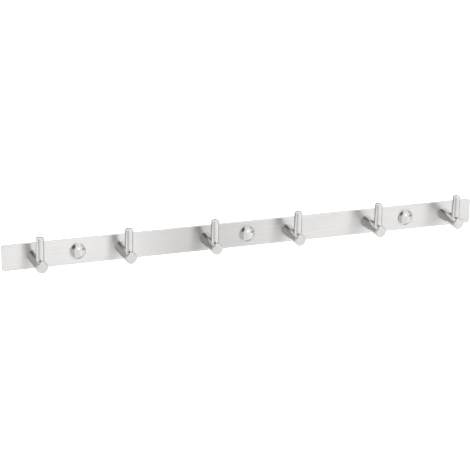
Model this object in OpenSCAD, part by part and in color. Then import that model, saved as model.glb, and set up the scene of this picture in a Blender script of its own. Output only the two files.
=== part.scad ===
// Wall hook rack: a bevelled steel strip, round hook bars with upright pegs,
// and wall screws hidden under domed caps that unscrew from threaded rings.
//
// Frame: +X runs along the strip, -Y points out of the wall towards the user and
// +Z is up. The origin is the centre of the strip's back face, on the wall.
// Threads are plain cylinders at their outside diameter.

/* [Backplate] */
// Length of the strip
plate_len = 600; // [450:5:900]
// Height of the strip
plate_h = 32; // [26:1:60]
// Thickness of the strip
plate_t = 2; // [1.8:0.1:4]
// Radius of the strip's corners, seen from the front
plate_corner_r = 3; // [1:0.5:8]
// Bevel round the strip's front edge
plate_bevel = 0.4; // [0.1:0.1:0.8]

/* [Hooks] */
// Number of hooks, a pair for each wall fixing
hook_count = 6; // [2:2:10]
// Distance from the end of the strip to the first hook's axis
end_margin = 37.5; // [20:0.5:60]
// Diameter of the horizontal bar
bar_d = 14; // [13:0.5:18]
// Length of the bar in front of the strip
bar_len = 43; // [34:1:80]
// Bevel round the bar's free end
bar_bevel = 0.6; // [0.2:0.1:1.2]
// Bevel round the bar's end on the strip
bar_foot_bevel = 0.2; // [0.1:0.1:0.5]
// Diameter of the upright peg
peg_d = 9.6; // [6:0.2:11]
// Height of the peg's tip above the bar's axis
peg_rise = 34; // [20:1:60]
// Distance from the bar's end face to the peg's axis
peg_setback = 10.4; // [8:0.2:14]
// Depth of the peg's socket, from the bar's crown
peg_socket = 8; // [4:0.5:10]
// Height of the peg's domed tip
peg_dome = 1.7; // [0.6:0.1:3]

/* [Hook screws] */
// Diameter of the machine screw that holds a bar
hook_screw_d = 4; // [3:0.5:5]
// Length of the machine screw, head included
hook_screw_len = 14; // [10:1:18]
// Diameter of its countersunk head
hook_head_d = 7.4; // [6.5:0.1:8.5]
// How far its head lies below the strip's back face
hook_head_sunk = 0.15; // [0.05:0.05:0.3]
// Width across the flats of its hexagon socket
hook_socket_af = 2.5; // [2:0.5:3]
// Depth of its hexagon socket
hook_socket_depth = 1.6; // [1:0.1:2]

/* [Wall fixings] */
// Diameter of the wood screw's thread
wall_screw_d = 4.5; // [4:0.5:5]
// Diameter of the plain neck under its head
wall_neck_d = 4.1; // [3:0.1:4.5]
// How far the wood screw reaches behind the strip
wall_reach = 35; // [20:1:60]
// Length of the wood screw's point
wall_point = 5; // [3:0.5:8]
// Diameter of the wood screw's countersunk head
wall_head_d = 8.6; // [8:0.1:9]
// Length of each arm of its cross recess, from the axis
recess_arm = 2.4; // [1.5:0.1:2.6]
// Width of the arms of its cross recess
recess_w = 1; // [0.6:0.1:1.4]
// Depth of its cross recess
recess_depth = 1.6; // [1:0.1:2]

/* [Caps] */
// Diameter of the threaded ring under the cap
ring_d = 13; // [12:0.2:16]
// Thickness of the ring in front of the strip
ring_t = 2.5; // [2.3:0.1:3.5]
// Thickness of the cap's wall at its foot, round the ring
cap_wall = 2.95; // [2.5:0.05:4]
// Thickness of the cap's crown, over the ring
cap_crown = 2.35; // [2:0.05:3.5]
// Height of the cap's straight rim
cap_rim = 1.2; // [0.8:0.1:1.8]
// Diameter of the ring's spigot in the strip
spigot_d = 6.6; // [6.2:0.1:8]

/* [Clearances] */
// Radial clearance of a screw in its tapped hole and of a cap on its ring
thread_fit = 0.05; // [0.02:0.01:0.1]
// Radial clearance of a peg in its socket and of a spigot in the strip
socket_fit = 0.03; // [0.01:0.01:0.1]
// Radial clearance of a screw in a plain hole
screw_clear = 0.2; // [0.1:0.05:0.4]
// Space left past the end of a screw or over a ring
end_clear = 0.15; // [0.1:0.05:1]
// Depth of drill point left past the end of a tapped hole's screw
tap_clear = 1.5; // [0.5:0.5:3]

/* [Hidden] */
$fn = 96;
// Small overshoot of a cut past the face that it opens
over = 0.1;

fixing_count = hook_count / 2;
hook_pitch = (plate_len - 2 * end_margin) / (hook_count - 1);
bar_front = plate_t + bar_len;
peg_front = bar_front - peg_setback;
socket_floor = bar_d / 2 - peg_socket;
hook_tap_depth = hook_screw_len + hook_head_sunk - plate_t + tap_clear;
ring_front = plate_t + ring_t;
wall_bore_d = wall_screw_d + 2 * screw_clear;
cap_bore_d = ring_d + 2 * thread_fit;
cap_bore_depth = ring_t + end_clear;
cap_d = cap_bore_d + 2 * cap_wall;
cap_h = cap_bore_depth + cap_crown;

// Place of a hook along the strip, counted from its -X end
function hook_x(i) = -plate_len / 2 + end_margin + (i - 1) * hook_pitch;

// A wall fixing is midway between the two hooks of its pair
function fixing_x(i) = (hook_x(2 * i - 1) + hook_x(2 * i)) / 2;

// Radius of the ball whose cap has this base radius and height
function ball_r(base_r, h) = (base_r * base_r + h * h) / (2 * h);

// Stands a shape on the wall: its +Z points out of the wall and its +Y up
module on_wall(x = 0) {
    translate([x, 0, 0]) rotate([90, 0, 0]) children();
}

// Cylinder of radius r and height h with a ball-shaped top of height dome
module domed_cylinder(r, h, dome) {
    ball = ball_r(r, dome);
    cylinder(r = r, h = h - dome);
    intersection() {
        cylinder(r = r, h = h);
        translate([0, 0, h - ball]) sphere(r = ball);
    }
}

// 45 degree countersink or head: radius r at z = 0, down to radius r_end below
module countersink(r, r_end) {
    translate([0, 0, r_end - r]) cylinder(r1 = r_end, r2 = r, h = r - r_end);
}

// Outline of a slab of half width a and thickness t, bevelled at its front corners
module bevelled_slab(a, t, bevel) {
    polygon([
        [-a, 0],
        [a, 0],
        [a, t - bevel],
        [a - bevel, t],
        [-a + bevel, t],
        [-a, t - bevel]
    ]);
}

// Strip without its holes: two crossing bevelled slabs and four round corners
module plate_blank() {
    flat_x = plate_len - 2 * plate_corner_r;
    flat_z = plate_h - 2 * plate_corner_r;
    rotate([90, 0, 90]) linear_extrude(height = flat_x, center = true)
        bevelled_slab(plate_h / 2, plate_t, plate_bevel);
    rotate([90, 0, 0]) linear_extrude(height = flat_z, center = true)
        bevelled_slab(plate_len / 2, plate_t, plate_bevel);
    for (sx = [-1, 1], sz = [-1, 1]) translate([sx * flat_x / 2, sz * flat_z / 2, 0]) {
        cylinder(r = plate_corner_r, h = plate_t - plate_bevel);
        translate([0, 0, plate_t - plate_bevel])
            cylinder(r1 = plate_corner_r, r2 = plate_corner_r - plate_bevel, h = plate_bevel);
    }
}

module backplate() {
    color([0.78, 0.78, 0.77]) difference() {
        on_wall() plate_blank();
        for (i = [1:hook_count]) on_wall(hook_x(i)) {
            translate([0, 0, -over])
                cylinder(d = hook_screw_d + 2 * screw_clear, h = plate_t + 2 * over);
            // the cone carries on out of the back face, so that the head can lie below it
            mirror([0, 0, 1]) translate([0, 0, hook_head_sunk])
                countersink(hook_head_d / 2 + 2 * hook_head_sunk, hook_screw_d / 2);
        }
        for (i = [1:fixing_count]) on_wall(fixing_x(i)) translate([0, 0, -over])
            cylinder(d = spigot_d + 2 * socket_fit, h = plate_t + 2 * over);
    }
}

// Turned bar with a tapped hole for its screw and a blind cross hole for the peg
module hook_bar(i) {
    r = bar_d / 2;
    color([0.8, 0.8, 0.79]) on_wall(hook_x(i)) difference() {
        translate([0, 0, plate_t]) {
            cylinder(r1 = r - bar_foot_bevel, r2 = r, h = bar_foot_bevel);
            translate([0, 0, bar_foot_bevel])
                cylinder(r = r, h = bar_len - bar_foot_bevel - bar_bevel);
            translate([0, 0, bar_len - bar_bevel])
                cylinder(r1 = r, r2 = r - bar_bevel, h = bar_bevel);
        }
        translate([0, 0, plate_t - over])
            cylinder(d = hook_screw_d + 2 * thread_fit, h = hook_tap_depth + over);
        translate([0, socket_floor, peg_front]) rotate([-90, 0, 0])
            cylinder(d = peg_d + 2 * socket_fit, h = peg_socket + over);
    }
}

// Upright peg that stands on the floor of its socket
module hook_peg(i) {
    color([0.82, 0.82, 0.81])
        translate([hook_x(i), -peg_front, socket_floor])
            domed_cylinder(peg_d / 2, peg_rise - socket_floor, peg_dome);
}

// Countersunk machine screw, driven from behind the strip
module hook_screw(i) {
    color([0.62, 0.62, 0.6]) on_wall(hook_x(i)) mirror([0, 0, 1])
        translate([0, 0, -hook_head_sunk]) difference() {
            union() {
                countersink(hook_head_d / 2, hook_screw_d / 2);
                translate([0, 0, -hook_screw_len]) cylinder(d = hook_screw_d, h = hook_screw_len - over);
            }
            translate([0, 0, -hook_socket_depth])
                cylinder(d = hook_socket_af / cos(30), h = hook_socket_depth + over, $fn = 6);
        }
}

// Countersunk wood screw: its neck fills the ring and its thread starts at the wall
module wall_screw(i) {
    color([0.66, 0.66, 0.64]) on_wall(fixing_x(i)) difference() {
        union() {
            translate([0, 0, ring_front]) countersink(wall_head_d / 2, wall_neck_d / 2);
            cylinder(d = wall_neck_d, h = ring_front - over);
            translate([0, 0, -wall_reach + wall_point])
                cylinder(d = wall_screw_d, h = wall_reach - wall_point);
            translate([0, 0, -wall_reach])
                cylinder(r1 = 0, r2 = wall_screw_d / 2, h = wall_point);
        }
        for (turn = [0, 90]) rotate([0, 0, turn])
            translate([-recess_arm, -recess_w / 2, ring_front - recess_depth])
                cube([2 * recess_arm, recess_w, recess_depth + over]);
    }
}

// Threaded ring that the wood screw clamps against the strip, with a spigot in it
module cap_ring(i) {
    color([0.7, 0.7, 0.68]) on_wall(fixing_x(i)) difference() {
        union() {
            translate([0, 0, plate_t]) cylinder(d = ring_d, h = ring_t);
            translate([0, 0, end_clear]) cylinder(d = spigot_d, h = plate_t - end_clear + over);
        }
        cylinder(d = wall_bore_d, h = ring_front + over);
        translate([0, 0, ring_front]) countersink(wall_head_d / 2, wall_neck_d / 2);
    }
}

// Domed cap, bored to go over the ring
module screw_cap(i) {
    color([0.88, 0.88, 0.88]) on_wall(fixing_x(i)) translate([0, 0, plate_t]) difference() {
        domed_cylinder(cap_d / 2, cap_h, cap_h - cap_rim);
        translate([0, 0, -over]) cylinder(d = cap_bore_d, h = cap_bore_depth + over);
    }
}

backplate();
for (i = [1:hook_count]) {
    hook_bar(i);
    hook_peg(i);
    hook_screw(i);
}
for (i = [1:fixing_count]) {
    wall_screw(i);
    cap_ring(i);
    screw_cap(i);
}
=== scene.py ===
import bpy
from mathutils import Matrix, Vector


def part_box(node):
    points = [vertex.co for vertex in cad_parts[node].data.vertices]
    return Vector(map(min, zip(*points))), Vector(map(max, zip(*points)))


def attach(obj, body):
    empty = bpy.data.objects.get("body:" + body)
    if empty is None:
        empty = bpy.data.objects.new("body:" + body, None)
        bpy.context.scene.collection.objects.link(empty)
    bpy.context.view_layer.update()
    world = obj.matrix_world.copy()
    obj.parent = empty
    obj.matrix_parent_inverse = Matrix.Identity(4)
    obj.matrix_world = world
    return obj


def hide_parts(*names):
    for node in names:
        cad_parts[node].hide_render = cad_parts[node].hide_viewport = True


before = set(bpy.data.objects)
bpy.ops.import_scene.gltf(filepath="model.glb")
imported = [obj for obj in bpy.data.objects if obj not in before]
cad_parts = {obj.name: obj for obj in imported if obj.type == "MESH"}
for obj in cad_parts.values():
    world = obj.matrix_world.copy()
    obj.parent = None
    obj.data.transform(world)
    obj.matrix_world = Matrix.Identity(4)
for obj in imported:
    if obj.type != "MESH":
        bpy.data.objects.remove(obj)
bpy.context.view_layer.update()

# Looks of the wall hook rack: a brushed strip, satin bars with upright pegs, and polished caps over the wall
# screws. Lengths are in metres. +X runs along the strip, -Y points out of the wall and +Z is up. Every piece
# is a numpy surface that stands for the CAD node of its name, and takes its size and place from its box.

import math

import bmesh
import bpy
import numpy as np
from mathutils import Matrix, Vector
from mathutils.geometry import tessellate_polygon

MM = 0.001
TURN = 2 * math.pi

# Places and sizes that the frame gives
node_names = sorted(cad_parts)
hook_count = sum(name.startswith("hook_bar_") for name in node_names)
fixing_count = sum(name.startswith("screw_cap_") for name in node_names)
plate_lo, plate_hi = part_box("backplate")
plate_half_len = plate_hi.x
plate_half_h = plate_hi.z
plate_t = -plate_lo.y


def axis_x(node):
    """Place along the strip of a turned piece's axis."""
    low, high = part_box(node)
    return (low.x + high.x) / 2


hook_x = [axis_x(f"hook_bar_{i + 1}") for i in range(hook_count)]
fixing_x = [axis_x(f"screw_cap_{i + 1}") for i in range(fixing_count)]
hook_pitch = hook_x[1] - hook_x[0]
fixing_pitch = fixing_x[1] - fixing_x[0]
bar_lo, bar_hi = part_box("hook_bar_1")
bar_r = (bar_hi.x - bar_lo.x) / 2
bar_front = -bar_lo.y
peg_lo, peg_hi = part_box("hook_peg_1")
peg_r = (peg_hi.x - peg_lo.x) / 2
peg_front = -(peg_lo.y + peg_hi.y) / 2
cap_lo, cap_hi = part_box("screw_cap_1")
cap_r = (cap_hi.x - cap_lo.x) / 2
cap_front = -cap_lo.y
ring_lo, ring_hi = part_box("cap_ring_1")
ring_r = (ring_hi.x - ring_lo.x) / 2
ring_front = -ring_lo.y
wall_lo, wall_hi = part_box("wall_screw_1")
wall_head_r = (wall_hi.x - wall_lo.x) / 2
wall_reach = wall_hi.y
hook_screw_lo, hook_screw_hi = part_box("hook_screw_1")
hook_head_r = (hook_screw_hi.x - hook_screw_lo.x) / 2
hook_head_face = -hook_screw_hi.y
hook_screw_front = -hook_screw_lo.y

# Sizes that the boxes don't show
plate_corner_r = 3 * MM
plate_edge_r = 0.8 * MM
plate_back_edge_r = 0.15 * MM
bar_bevel = 1.0 * MM
bar_bevel_round = 1.2 * MM
bar_foot_bevel = 0.2 * MM
tap_r = 2.05 * MM
tap_clear = 1.5 * MM
clear_hole_r = 2.2 * MM
socket_r = peg_r + 0.03 * MM
peg_dome = 1.7 * MM
spigot_r = 3.3 * MM
spigot_hole_r = 3.33 * MM
cap_rim = 1.2 * MM
cap_bore_r = 6.55 * MM
cap_bore_depth = 2.65 * MM
hook_shank_r = 2 * MM
hook_thread_pitch = 0.7 * MM
hook_thread_depth = 0.38 * MM
hook_socket_af = 2.5 * MM
hook_socket_depth = 1.6 * MM
wall_neck_r = 2.05 * MM
wall_thread_r = 2.25 * MM
wall_core_r = 1.45 * MM
wall_point = 5 * MM
wall_thread_pitch = 2 * MM
wall_bore_r = 2.45 * MM
recess_arm = 2.3 * MM
recess_half_w = 0.5 * MM
recess_depth = 1.6 * MM
cap_thread_pitch = 0.9 * MM
cap_thread_depth = 0.3 * MM


# ---------------------------------------------------------------- shapes


def full_turn(columns):
    """Angles of a full turn, evenly spaced."""
    return np.arange(columns) * (TURN / columns)


def rounded(corners, closed=False, steps=5, hold=0.08 * MM):
    """Profile through corners (radius, height, rounding). A corner with a rounding becomes an arc tangent to
    both of its sides, with a point held a little before and after it, so that the sides shade as straight."""
    count = len(corners)
    points = []
    for k, (radius, height, rounding) in enumerate(corners):
        corner = np.array([radius, height])
        if rounding == 0 or (not closed and k in (0, count - 1)):
            points.append(corner[None, :])
            continue
        before = np.array(corners[k - 1][:2]) - corner
        after = np.array(corners[(k + 1) % count][:2]) - corner
        before_len = np.linalg.norm(before)
        after_len = np.linalg.norm(after)
        before = before / before_len
        after = after / after_len
        half = math.acos(np.clip(before @ after, -1, 1)) / 2
        run = rounding / math.tan(half)
        middle = (before + after) / np.linalg.norm(before + after)
        centre = corner + middle * rounding / math.sin(half)
        start = corner + before * run - centre
        end = corner + after * run - centre
        sweep = math.pi - 2 * half
        t = np.linspace(0, 1, steps + 1)[:, None]
        arc = centre + (np.sin((1 - t) * sweep) * start + np.sin(t * sweep) * end) / math.sin(sweep)
        first = corner + before * min(run + hold, 0.98 * before_len)
        last = corner + after * min(run + hold, 0.98 * after_len)
        points += [first[None, :], arc, last[None, :]]
    return np.concatenate(points)


def ball_cap(base_r, low, high, rows=14):
    """Profile of a ball-shaped cap from its base radius at height low to the axis at height high: a circle's
    arc whose radius is (base radius squared + rise squared) / (2 rise)."""
    rise = high - low
    ball = (base_r * base_r + rise * rise) / (2 * rise)
    edge = math.asin(base_r / ball)
    angle = np.linspace(edge, 0, rows)
    return np.stack([ball * np.sin(angle), high - ball + ball * np.cos(angle)], 1)


def fill_rows(profile, step):
    """The profile with its long runs divided, so that no two rows are more than one step apart."""
    gaps = np.linalg.norm(np.diff(profile, axis=0), axis=1)
    parts = np.maximum(1, np.ceil(gaps / step)).astype(int)
    runs = [np.linspace(a, b, n, endpoint=False) for a, b, n in zip(profile[:-1], profile[1:], parts)]
    return np.concatenate(runs + [profile[-1:]])


def turned(profile, angles):
    """Surface of revolution: each profile point (radius, height) goes round the local +Z axis. A radius may
    be a row of its own values, one for each angle."""
    radius, height = profile
    radius = np.broadcast_to(np.asarray(radius, float).reshape(len(height), -1), (len(height), len(angles)))
    height = np.broadcast_to(np.asarray(height, float).reshape(len(height), -1), radius.shape)
    return np.stack([radius * np.cos(angles), radius * np.sin(angles), height], -1)


def off_wall(points, x):
    """Turns local +Z out of the wall and local +Y up, and moves the axis to x."""
    return np.stack([points[..., 0] + x, -points[..., 2], points[..., 1]], -1)


def helix_groove(angles, heights, pitch, depth, start, end, fade):
    """Depth of a V-shaped helical groove: a triangular wave of height / pitch - angle / turn, faded in and
    out towards the start and the end."""
    phase = (heights[:, None] - start) / pitch - angles[None, :] / TURN
    wave = np.abs(2 * (phase - np.floor(phase)) - 1)
    rise = np.clip((heights - start) / fade, 0, 1)
    fall = np.clip((end - heights) / fade, 0, 1)
    return depth * wave * (rise * fall)[:, None]


def hexagon(angles, across_flats):
    """Radius of a regular hexagon: half its width across flats over the cosine of the angle from the nearest
    flat."""
    return across_flats / 2 / np.cos((angles + TURN / 12) % (TURN / 6) - TURN / 12)


def cross(angles, arm, half_w):
    """Radius of a cross: the farther edge of two crossing rectangles."""
    c = np.abs(np.cos(angles)) + 1e-9
    s = np.abs(np.sin(angles)) + 1e-9
    return np.maximum(np.minimum(arm / c, half_w / s), np.minimum(half_w / c, arm / s))


def grid_faces(rows, columns, closed_rows=False):
    """Quads between neighbouring rows of a grid that is closed round its columns, and round its rows if
    asked."""
    row = np.arange(rows if closed_rows else rows - 1)[:, None]
    column = np.arange(columns)[None, :]
    below = row * columns
    above = ((row + 1) % rows) * columns
    following = (column + 1) % columns
    return np.stack([below + column, below + following, above + following, above + column], -1).reshape(-1, 4)


def solid(name, parts, sharp=32):
    """One closed mesh object from (points, faces) parts. Their shared points are merged, which closes poles
    and seams, and the faces are turned outwards."""
    points = np.concatenate([p.reshape(-1, 3) for p, _ in parts])
    mesh = bpy.data.meshes.new(name)
    faces = []
    first = 0
    for p, f in parts:
        faces += (np.asarray(f) + first).tolist()
        first += p.reshape(-1, 3).shape[0]
    mesh.from_pydata(points.tolist(), [], faces)
    work = bmesh.new()
    work.from_mesh(mesh)
    bmesh.ops.remove_doubles(work, verts=work.verts, dist=1e-6)
    bmesh.ops.recalc_face_normals(work, faces=work.faces)
    work.to_mesh(mesh)
    work.free()
    mesh.shade_smooth()
    mesh.set_sharp_from_angle(angle=math.radians(sharp))
    made = bpy.data.objects.new(name, mesh)
    bpy.context.scene.collection.objects.link(made)
    return made


def revolved(name, surface, closed_rows=False, sharp=32):
    """Solid from one grid of points."""
    rows, columns = surface.shape[:2]
    return solid(name, [(surface, grid_faces(rows, columns, closed_rows))], sharp)


def cut(piece, cutter, sharp=32):
    """Takes the cutter's shape out of the piece, and removes the cutter."""
    boolean = piece.modifiers.new("cut", "BOOLEAN")
    boolean.operation = "DIFFERENCE"
    boolean.solver = "EXACT"
    boolean.object = cutter
    graph = bpy.context.evaluated_depsgraph_get()
    result = bpy.data.meshes.new_from_object(piece.evaluated_get(graph))
    piece.modifiers.clear()
    piece.data = result
    bpy.data.objects.remove(cutter)
    result.shade_smooth()
    result.set_sharp_from_angle(angle=math.radians(sharp))
    return piece


# ---------------------------------------------------------------- pieces


def plate_outline(half_len, half_h, corner_r, inset, steps=10):
    """Rounded rectangle seen from the front, inset from its full size: four quarter circles joined by
    straight sides."""
    quarter = np.linspace(0, TURN / 4, steps + 1)
    loop = []
    for k, (sx, sz) in enumerate([(1, 1), (-1, 1), (-1, -1), (1, -1)]):
        angle = quarter + k * TURN / 4
        x = sx * (half_len - corner_r) + (corner_r - inset) * np.cos(angle)
        z = sz * (half_h - corner_r) + (corner_r - inset) * np.sin(angle)
        loop.append(np.stack([x, z], 1))
    return np.concatenate(loop)


def backplate():
    """Strip: a rounded rectangle carried through its thickness with a rounded front edge, and a flat front
    and back filled round nine holes. The six hook holes are countersunk from behind."""
    held = 0.25 * MM
    section = rounded(
        [
            (plate_edge_r + held, plate_t, 0),
            (0, plate_t, plate_edge_r),
            (0, 0, plate_back_edge_r),
            (plate_edge_r + held, 0, 0),
        ],
        steps=6,
    )
    section = np.concatenate([[[plate_edge_r + held, plate_t]], section[1:-1], [[plate_edge_r + held, 0]]])
    loops = [plate_outline(plate_half_len, plate_half_h, plate_corner_r, inset) for inset, _ in section]
    rings = [np.stack([p[:, 0], np.full(len(p), -y), p[:, 1]], 1) for p, (_, y) in zip(loops, section)]
    rim = np.stack(rings)
    parts = [(rim, grid_faces(len(rim), rim.shape[1]))]
    angles = full_turn(64)
    sink_r = hook_head_r + 0.15 * MM
    walls = []
    for x in hook_x:
        profile = rounded(
            [
                (clear_hole_r, plate_t, 0),
                (clear_hole_r, sink_r - clear_hole_r, 0),
                (sink_r, 0, 0),
            ]
        )
        walls.append(off_wall(turned(profile.T, angles), x))
    for x in fixing_x:
        profile = np.array([(spigot_hole_r, plate_t), (spigot_hole_r, 0)])
        walls.append(off_wall(turned(profile.T, angles), x))
    for wall in walls:
        parts.append((wall, grid_faces(len(wall), wall.shape[1])))
    for side, end in ((0, 0), (-1, -1)):
        outlines = [rim[side]] + [wall[end] for wall in walls]
        flat = [[Vector((p[0], p[2], 0)) for p in outline] for outline in outlines]
        parts.append((np.concatenate(outlines), tessellate_polygon(flat)))
    return solid("brushed_strip", parts)


def hook_bar(i):
    """Turned bar with its end face and bevel, a plain screw hole at its foot and a blind cross hole for its
    peg."""
    tap_end = hook_screw_front + tap_clear
    outside = rounded(
        [
            (0, bar_front, 0),
            (bar_r - bar_bevel, bar_front, bar_bevel_round),
            (bar_r, bar_front - bar_bevel, bar_bevel_round),
            (bar_r, plate_t + bar_foot_bevel, 0.06 * MM),
            (bar_r - bar_foot_bevel, plate_t, 0.06 * MM),
            (tap_r + 0.3 * MM, plate_t, 0),
            (tap_r, plate_t + 0.3 * MM, 0),
            (tap_r, tap_end, 0),
            (0, tap_end + 0.6 * tap_r, 0),
        ],
        steps=4,
    )
    profile = fill_rows(outside, 0.9 * MM)
    bar = revolved(f"turned_bar_{i + 1}", off_wall(turned(profile.T, full_turn(96)), hook_x[i]))
    floor_z = peg_lo.z
    hole = np.array(
        [
            (0, floor_z),
            (socket_r, floor_z),
            (socket_r, bar_r - 0.02 * MM),
            (socket_r, bar_r + 1 * MM),
            (0, bar_r + 1 * MM),
        ]
    )
    drill = turned(hole.T, full_turn(96))
    drill = drill + np.array([hook_x[i], -peg_front, 0])
    return cut(bar, revolved("drill", drill))


def hook_peg(i):
    """Upright pin: a straight side with a small chamfer at its foot, and a shallow ball-shaped tip whose edge
    is slightly rounded."""
    side_top = peg_hi.z - peg_dome
    edge = 0.25 * MM
    foot = rounded(
        [
            (0, peg_lo.z, 0),
            (peg_r - 0.3 * MM, peg_lo.z, 0),
            (peg_r, peg_lo.z + 0.3 * MM, 0),
            (peg_r, side_top - edge, 0),
        ]
    )
    dome = ball_cap(peg_r, side_top, peg_hi.z)
    tip = rounded([(peg_r, side_top - 2 * edge, 0), (peg_r, side_top, edge), (*dome[3], 0)], steps=6)
    profile = fill_rows(np.concatenate([foot, tip[1:-1], dome[3:]]), 1.5 * MM)
    place = np.array([hook_x[i], -peg_front, 0])
    return revolved(f"domed_peg_{i + 1}", turned(profile.T, full_turn(80)) + place)


def hook_screw(i):
    """Countersunk machine screw seen from behind: hexagon socket with a drill point, conical head, and a
    shank with a fine V thread."""
    angles = full_turn(72)
    face = hook_head_face
    hexed = hexagon(angles, hook_socket_af)
    thread_from = face + hook_head_r - hook_shank_r + 0.6 * MM
    thread_to = hook_screw_front - 0.3 * MM
    heights = np.arange(thread_from, thread_to, hook_thread_pitch / 8)
    pitch = hook_thread_pitch
    groove = helix_groove(angles, heights, pitch, hook_thread_depth, thread_from, thread_to, pitch)
    ones = np.ones(len(angles))
    rows = [
        (0 * ones, face + hook_socket_depth + 0.5 * MM),
        (hexed, face + hook_socket_depth),
        (hexed, face + 0.12 * MM),
        (hexed + 0.12 * MM, face),
        ((hook_head_r - 0.12 * MM) * ones, face),
        (hook_head_r * ones, face + 0.1 * MM),
        (hook_shank_r * ones, face + hook_head_r - hook_shank_r),
    ]
    rows += [(hook_shank_r - g, h) for g, h in zip(groove, heights)]
    rows += [
        ((hook_shank_r - 0.35 * MM) * ones, hook_screw_front),
        (0 * ones, hook_screw_front),
    ]
    radius = np.stack([r for r, _ in rows])
    height = np.array([h for _, h in rows])
    return revolved(f"machine_screw_{i + 1}", off_wall(turned((radius, height), angles), hook_x[i]))


def wall_screw(i):
    """Countersunk wood screw: a cross recess, a conical head, a plain neck, and a coarse thread that runs
    down to a point. The thread's V is wide between sharp crests."""
    steps = full_turn(72)
    corner = math.atan(recess_half_w / recess_arm)
    corners = [k * TURN / 4 + s * corner for k in range(4) for s in (-1, 1)]
    angles = np.unique(np.round(np.concatenate([steps, np.array(corners) % TURN]), 9))
    ones = np.ones(len(angles))
    face = ring_front
    crossed = cross(angles, recess_arm, recess_half_w)
    rows = [
        (0 * ones, face - recess_depth),
        (0.45 * crossed, face - 0.8 * recess_depth),
        (crossed, face - 0.1 * MM),
        (crossed + 0.1 * MM, face),
        ((wall_head_r - 0.12 * MM) * ones, face),
        (wall_head_r * ones, face - 0.12 * MM),
        (wall_neck_r * ones, face - wall_head_r + wall_neck_r),
        (wall_neck_r * ones, 0.2 * MM),
    ]
    heights = np.arange(0, -wall_reach + 0.05 * MM, -wall_thread_pitch / 12)
    depth = wall_thread_r - wall_core_r
    phase = -heights[:, None] / wall_thread_pitch - angles[None, :] / TURN
    wave = np.abs(2 * (phase - np.floor(phase)) - 1)
    crest = np.clip(wave * 1.9 - 0.9, 0, 1)
    fade = np.clip(-heights / wall_thread_pitch, 0, 1)[:, None]
    taper = np.clip((heights + wall_reach) / wall_point, 0, 1)[:, None]
    core = wall_core_r * taper ** 0.8
    radius = np.minimum(core + depth * crest * fade * np.sqrt(taper), wall_thread_r * np.maximum(taper, 0))
    rows += [(r, h) for r, h in zip(radius, heights)]
    rows.append((0 * ones, -wall_reach))
    radius = np.stack([r for r, _ in rows])
    height = np.array([h for _, h in rows])
    return revolved(f"wood_screw_{i + 1}", off_wall(turned((radius, height), angles), fixing_x[i]))


def cap_ring(i):
    """Ring with a V thread round it, a spigot that sits in the strip, and a countersunk seat for the wall
    screw."""
    angles = full_turn(96)
    ones = np.ones(len(angles))
    back = -ring_hi.y
    low = plate_t + 0.25 * MM
    high = ring_front - 0.25 * MM
    heights = np.arange(low, high, cap_thread_pitch / 10)
    groove = helix_groove(angles, heights, cap_thread_pitch, cap_thread_depth, low, high, 0.3 * MM)
    seat = wall_head_r - wall_bore_r
    rows = [
        (wall_bore_r * ones, ring_front - seat),
        (wall_bore_r * ones, back),
        (spigot_r * ones, back),
        (spigot_r * ones, plate_t),
        ((ring_r - 0.25 * MM) * ones, plate_t),
    ]
    rows += [(ring_r - g, h) for g, h in zip(groove, heights)]
    rows += [
        ((ring_r - 0.25 * MM) * ones, ring_front),
        (wall_head_r * ones, ring_front),
    ]
    radius = np.stack([r for r, _ in rows])
    height = np.array([h for _, h in rows])
    surface = off_wall(turned((radius, height), angles), fixing_x[i])
    return revolved(f"threaded_ring_{i + 1}", surface, closed_rows=True)


def screw_cap(i):
    """Hollow cap: a ball-shaped crown, a softly rounded edge, a short straight rim, and a threaded bore."""
    angles = full_turn(128)
    ones = np.ones(len(angles))
    rim_top = plate_t + cap_rim
    dome = ball_cap(cap_r, rim_top, cap_front, rows=30)[::-1]
    edge = rounded(
        [
            (*dome[-4], 0),
            (cap_r, rim_top, 0.7 * MM),
            (cap_r, plate_t, 0.12 * MM),
            (cap_bore_r + 0.25 * MM, plate_t, 0),
            (cap_bore_r, plate_t + 0.25 * MM, 0),
        ],
        steps=8,
    )
    outside = np.concatenate([dome[:-4], edge])
    low = plate_t + 0.3 * MM
    high = plate_t + cap_bore_depth - 0.3 * MM
    heights = np.arange(low, high, cap_thread_pitch / 10)
    groove = helix_groove(angles, heights, cap_thread_pitch, cap_thread_depth, low, high, 0.3 * MM)
    rows = [(r * ones, h) for r, h in outside]
    rows += [(cap_bore_r + g, h) for g, h in zip(groove, heights)]
    rows += [
        (cap_bore_r * ones, plate_t + cap_bore_depth),
        (0 * ones, plate_t + cap_bore_depth),
    ]
    radius = np.stack([r for r, _ in rows])
    height = np.array([h for _, h in rows])
    return revolved(f"domed_cap_{i + 1}", off_wall(turned((radius, height), angles), fixing_x[i]))


# ---------------------------------------------------------------- materials


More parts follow.
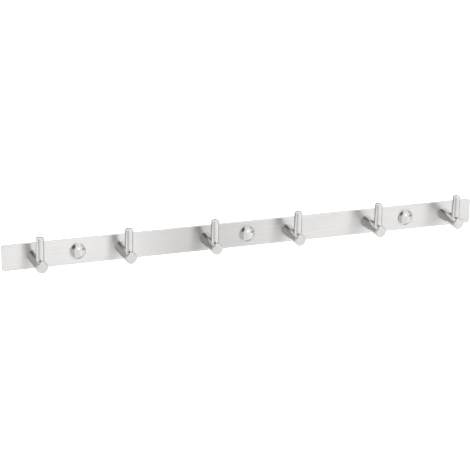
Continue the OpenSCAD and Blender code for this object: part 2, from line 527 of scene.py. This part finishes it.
class Wire:
    """A socket of a node tree. Arithmetic on it adds Math nodes, and add() makes any other node."""

    def __init__(self, tree, socket=None):
        self.tree = tree
        self.socket = socket

    def add(self, kind, sockets=None, output=0, **settings):
        """A node of that type with its settings, and its sockets set or linked. Returns the output asked
        for."""
        node = self.tree.nodes.new(kind)
        for name, value in settings.items():
            setattr(node, name, value)
        for name, value in (sockets or {}).items():
            if isinstance(value, Wire):
                self.tree.links.new(value.socket, node.inputs[name])
            else:
                node.inputs[name].default_value = value
        return Wire(self.tree, node.outputs[output] if node.outputs else None)

    def math(self, operation, *values):
        return self.add("ShaderNodeMath", dict(enumerate(values)), operation=operation)

    def __add__(self, other):
        return self.math("ADD", self, other)

    def __sub__(self, other):
        return self.math("SUBTRACT", self, other)

    def __rsub__(self, other):
        return self.math("SUBTRACT", other, self)

    def __mul__(self, other):
        return self.math("MULTIPLY", self, other)

    def __truediv__(self, other):
        return self.math("DIVIDE", self, other)

    def __neg__(self):
        return self.math("MULTIPLY", self, -1)

    def __abs__(self):
        return self.math("ABSOLUTE", self)

    __radd__ = __add__
    __rmul__ = __mul__

    def low(self, other):
        return self.math("MINIMUM", self, other)

    def high(self, other):
        return self.math("MAXIMUM", self, other)

    def ramp(self, start, end, low=0.0, high=1.0):
        """Smooth step of this value from low at start to high at end."""
        values = {"Value": self, 1: start, 2: end, 3: low, 4: high}
        return self.add("ShaderNodeMapRange", values, interpolation_type="SMOOTHSTEP")

    def mix(self, a, b):
        """Colour a where this value is 0 and b where it is 1."""
        return self.add("ShaderNodeMix", {0: self, 6: a, 7: b}, output=2, data_type="RGBA")

    def parts(self):
        """The three parts of a vector."""
        split = self.tree.nodes.new("ShaderNodeSeparateXYZ")
        self.tree.links.new(self.socket, split.inputs[0])
        return [Wire(self.tree, out) for out in split.outputs]

    def dot(self, direction):
        """Dot product of this vector and a fixed direction."""
        unit = Vector(direction).normalized()
        return self.add("ShaderNodeVectorMath", {0: self, 1: unit}, output=1, operation="DOT_PRODUCT")


def grey(shade, warmth=0.0):
    """Linear colour of a grey, slightly warm where warmth is positive."""
    return (shade * (1 + warmth), shade, shade * (1 - 1.6 * warmth), 1.0)


def new_material(name):
    """Empty material and the wire that builds its tree."""
    material = bpy.data.materials.new(name)
    material.use_nodes = True
    material.node_tree.nodes.clear()
    return material, Wire(material.node_tree)


def noise(tree, point, stretch, detail=3.0, rough=0.55):
    """Noise over object space, where stretch gives the size of its grain along X, Y and Z in metres."""
    scaled = tree.add("ShaderNodeMapping", {"Vector": point, "Scale": [1 / s for s in stretch]})
    sockets = {"Vector": scaled, "Scale": 1.0, "Detail": detail, "Roughness": rough}
    return tree.add("ShaderNodeTexNoise", sockets)


def metal(tree, colour, roughness, bump, bump_depth, bump_strength=1.0, anisotropy=0.0, rotation=0.0):
    """Metal shader on the material's output."""
    normal = tree.add("ShaderNodeBump", {"Height": bump, "Distance": bump_depth, "Strength": bump_strength})
    shader = tree.add(
        "ShaderNodeBsdfPrincipled",
        {
            "Base Color": colour,
            "Metallic": 1.0,
            "Roughness": roughness,
            "Normal": normal,
            "Anisotropic": anisotropy,
            "Anisotropic Rotation": rotation,
        },
    )
    tree.add("ShaderNodeOutputMaterial", {"Surface": shader})


def nearest_axis(x, first, pitch):
    """Distance along X from the nearest of a row of axes."""
    from_first = x - first
    return from_first - x.math("ROUND", from_first / pitch) * pitch


def brushed_plate():
    """Brushed strip: long scratches along X at three sizes in colour, roughness and relief, faint smudges, a
    darker stretch along X from left of the middle that is painted shade for the hooks' dark reflections,
    and a smoother, brighter edge all round."""
    material, tree = new_material("brushed_plate")
    point = tree.add("ShaderNodeTexCoord", output=3)
    x, y, z = point.parts()
    bands = noise(tree, point, (0.16, 0.01, 0.0016), detail=4)
    scratches = noise(tree, point, (0.035, 0.004, 0.00035), detail=3)
    hairs = noise(tree, point, (0.012, 0.002, 0.00012), detail=2)
    smudge = noise(tree, point, (0.05, 0.05, 0.02), detail=3)
    edge_gap = (plate_half_h - abs(z)).low(plate_half_len - abs(x))
    patchy = noise(tree, point, (0.006, 0.003, 0.003)).ramp(0.3, 0.7, 0.5, 1.0)
    worn = edge_gap.ramp(0.9 * MM, 0.1 * MM) * patchy
    grain = bands * 0.2 + scratches * 0.4 + hairs * 0.4
    tone = grain.ramp(0.35, 0.65).mix(grey(0.75, 0.014), grey(0.85, 0.01))
    # Painted shade: from about x = -0.155 m to 0.08 m the strip's colour is darkened, standing in for the
    # dark reflections of the hooks in the brushed metal.
    painted_shade_left = (-0.155, -0.08)
    painted_shade_right = (0.08, -0.06)
    painted_shade_share = 0.2
    painted_shade = x.ramp(*painted_shade_left) * x.ramp(*painted_shade_right)
    tone = (painted_shade * painted_shade_share).mix(tone, grey(0.0))
    tone = worn.mix(tone, grey(0.9, 0.008))
    rough = 0.29 + grain * 0.08 + smudge.ramp(0.45, 0.7) * 0.04 - worn * 0.08
    metal(tree, tone, rough, grain, 0.03 * MM, 0.25, anisotropy=1.0, rotation=0.25)
    return material


def turned_steel(name, axis, first, pitch, centre, shades, roughness, groove, anisotropy=0.0, rotation=0.0):
    """Turned metal: fine rings that follow the profile, as a function of the distance from the piece's axis
    plus the distance along it. The rings vary a little round the piece, and slow blotches change the
    finish."""
    material, tree = new_material(name)
    point = tree.add("ShaderNodeTexCoord", output=3)
    x, y, z = point.parts()
    side = nearest_axis(x, first, pitch)
    across, along = (z, y) if axis == "Y" else (y + centre, z)
    off_axis = x.math("SQRT", side * side + across * across)
    path = off_axis + (-along if axis == "Y" else along)
    coarse = tree.add("ShaderNodeTexNoise", {"W": path / (0.5 * MM), "Scale": 1.0}, noise_dimensions="1D")
    fine = tree.add(
        "ShaderNodeTexNoise",
        {"W": path / (0.13 * MM), "Vector": point, "Scale": 1.0, "Detail": 2.0},
        noise_dimensions="4D",
    )
    blotch = noise(tree, point, (0.009, 0.009, 0.009))
    rings = coarse * 0.45 + fine * 0.55
    tone = (rings * 0.5 + blotch * 0.5).ramp(0.3, 0.7).mix(grey(shades[0], 0.006), grey(shades[1], 0.004))
    rough = roughness[0] + (roughness[1] - roughness[0]) * (rings * 0.6 + blotch * 0.4).ramp(0.3, 0.7)
    metal(tree, tone, rough, rings, groove, 0.4, anisotropy, rotation)
    return material


def build_materials():
    """One material for each slot of the record."""
    hooks = (hook_x[0], hook_pitch)
    fixings = (fixing_x[0], fixing_pitch)
    return {
        "brushed_plate": brushed_plate(),
        "satin_bar": turned_steel("satin_bar", "Y", *hooks, 0, (0.68, 0.76), (0.16, 0.24), 0.012 * MM),
        "satin_peg": turned_steel(
            "satin_peg", "Z", *hooks, peg_front, (0.7, 0.8), (0.12, 0.2), 0.006 * MM, 0.5, 0.25
        ),
        "polished_cap": turned_steel(
            "polished_cap", "Y", *fixings, 0, (0.68, 0.76), (0.08, 0.14), 0.001 * MM
        ),
        "turned_ring": turned_steel("turned_ring", "Y", *fixings, 0, (0.55, 0.65), (0.25, 0.38), 0.01 * MM),
        "plain_screw": turned_steel("plain_screw", "Y", *hooks, 0, (0.5, 0.62), (0.22, 0.36), 0.006 * MM),
        "zinc_screw": turned_steel("zinc_screw", "Y", *fixings, 0, (0.55, 0.68), (0.28, 0.42), 0.006 * MM),
    }


# ---------------------------------------------------------------- stage


def studio_world():
    """Light for the reflections, as a direction sees it: an even room with round patches of their own
    brightness, a narrow grey flag and a grey upright in front, and a small step in brightness at each end.
    The terms with twice act only on light seen after two reflections, as no real studio can: they darken
    part of the front (curtain) and keep the back from being dark. Camera rays see plain white."""
    world = bpy.data.worlds.new("studio")
    bpy.context.scene.world = world
    world.use_nodes = True
    world.node_tree.nodes.clear()
    tree = Wire(world.node_tree)
    direction = tree.add("ShaderNodeTexCoord")
    room = 1.02
    flag_loss = 0.12
    upright_loss = 0.35
    curtain_loss = 0.95
    right_gain = 0.05
    left_loss = 0.07
    least_behind = 0.8
    warm = (1.0, 0.965, 0.9, 1.0)
    white = (1.0, 1.0, 1.0, 1.0)
    light = room
    patches = [
        # middle of the patch, its full and outer radius in degrees, and its light
        ((-0.42, 0.88, -0.15), 12, 30, 0.5),
        ((0.2, 0.95, 0.1), 26, 33, 0.06),
        ((0.33, 0.33, -0.88), 12, 34, 0.45),
        ((0.95, 0.0, 0.3), 8, 20, 0.4),
        ((0.75, -0.2, 0.6), 8, 18, 0.45),
        ((0.93, 0.17, -0.33), 8, 20, 0.4),
        ((0.235, -0.904, 0.277), 3, 13, 2.4),
        ((-0.6, -0.5, 0.6), 16, 34, 0.14),
    ]
    for middle, full, outer, shade in patches:
        edge = math.cos(math.radians(outer))
        mask = direction.dot(middle).ramp(edge, math.cos(math.radians(full)))
        light = light + (shade - light) * mask
    x, y, z = direction.parts()
    front = (-y).ramp(0.1, 0.3)
    slope = x / (-y).high(0.05)
    flag = x.ramp(0.27, 0.298) * x.ramp(0.4, 0.312)
    upright = slope.ramp(-2.4, -1.9) * slope.ramp(-0.4, -0.6)
    curtain = x.ramp(-0.36, -0.27) * x.ramp(0.1, 0.0) * z.ramp(-0.6, -0.3)
    depth = tree.add("ShaderNodeLightPath", output="Ray Depth")
    twice = depth.ramp(2.4, 2.6)
    loss = flag_loss * flag + upright_loss * upright + curtain_loss * twice * curtain
    light = light * (1 - front * loss)
    light = light * (1 + front * (right_gain * x.ramp(0.33, 0.4) - left_loss * x.ramp(0.23, 0.2)))
    light = light.high(least_behind * twice * y.ramp(0.2, 0.4))
    camera_ray = tree.add("ShaderNodeLightPath")
    shown = camera_ray + (1 - camera_ray) * light
    tint = (camera_ray + light).ramp(0.1, 0.9).mix(warm, white)
    background = tree.add("ShaderNodeBackground", {"Color": tint, "Strength": shown})
    tree.add("ShaderNodeOutputWorld", {"Surface": background})


def floor():
    """Plain white floor well below the rack. Reflections see the studio's light in its place."""
    size = 20.0
    height = -1.2
    corners = [(-size, -size, height), (size, -size, height), (size, size, height), (-size, size, height)]
    mesh = bpy.data.meshes.new("floor")
    mesh.from_pydata(corners, [], [(0, 1, 2, 3)])
    made = bpy.data.objects.new("floor", mesh)
    bpy.context.scene.collection.objects.link(made)
    material, tree = new_material("floor")
    shader = tree.add("ShaderNodeBsdfDiffuse", {"Color": (0.95, 0.95, 0.95, 1.0)})
    tree.add("ShaderNodeOutputMaterial", {"Surface": shader})
    mesh.materials.append(material)
    made.visible_glossy = False


def softbox(name, place, aim, size, power):
    """Square area light at place, turned towards aim."""
    lamp = bpy.data.lights.new(name, "AREA")
    lamp.size = size
    lamp.energy = power
    made = bpy.data.objects.new(name, lamp)
    made.location = place
    made.rotation_euler = (Vector(aim) - Vector(place)).to_track_quat("-Z", "Y").to_euler()
    made.visible_glossy = False
    bpy.context.scene.collection.objects.link(made)
    return made


def camera():
    """Camera to the left of the rack and above it, a little rolled."""
    azimuth = math.radians(-20.41)
    elevation = math.radians(19.33)
    roll = math.radians(1.13)
    distance = 2.047
    aim = Vector((-0.0131, 0.0040, -0.0024))
    level = math.cos(elevation)
    back = Vector((math.sin(azimuth) * level, -math.cos(azimuth) * level, math.sin(elevation)))
    lens = bpy.data.cameras.new("camera")
    lens.sensor_width = 36.0
    lens.lens = 130.2
    lens.clip_start = 0.05
    lens.clip_end = 100.0
    made = bpy.data.objects.new("camera", lens)
    turn = (-back).to_track_quat("-Z", "Y").to_matrix().to_4x4()
    made.matrix_world = Matrix.Translation(aim + back * distance) @ turn @ Matrix.Rotation(roll, 4, "Z")
    bpy.context.scene.collection.objects.link(made)
    bpy.context.scene.camera = made


# ---------------------------------------------------------------- assembly

bpy.context.scene.view_settings.view_transform = "Standard"
camera()
studio_world()
floor()
softbox("floor_light", place=(0, 0, 4), aim=(0, 0, -1.2), size=8.0, power=800)
materials = build_materials()


def fit(piece, node, body, slot):
    """Gives a piece its material, and lets it ride on its body in place of its CAD node."""
    piece.data.materials.clear()
    piece.data.materials.append(materials[slot])
    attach(piece, body)
    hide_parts(node)


fit(backplate(), "backplate", "rack", "brushed_plate")
for i in range(hook_count):
    fit(hook_bar(i), f"hook_bar_{i + 1}", "rack", "satin_bar")
    fit(hook_peg(i), f"hook_peg_{i + 1}", "rack", "satin_peg")
    fit(hook_screw(i), f"hook_screw_{i + 1}", "rack", "plain_screw")
for i in range(fixing_count):
    fit(wall_screw(i), f"wall_screw_{i + 1}", "rack", "zinc_screw")
    fit(cap_ring(i), f"cap_ring_{i + 1}", "rack", "turned_ring")
    fit(screw_cap(i), f"screw_cap_{i + 1}", f"cap_{i + 1}", "polished_cap")
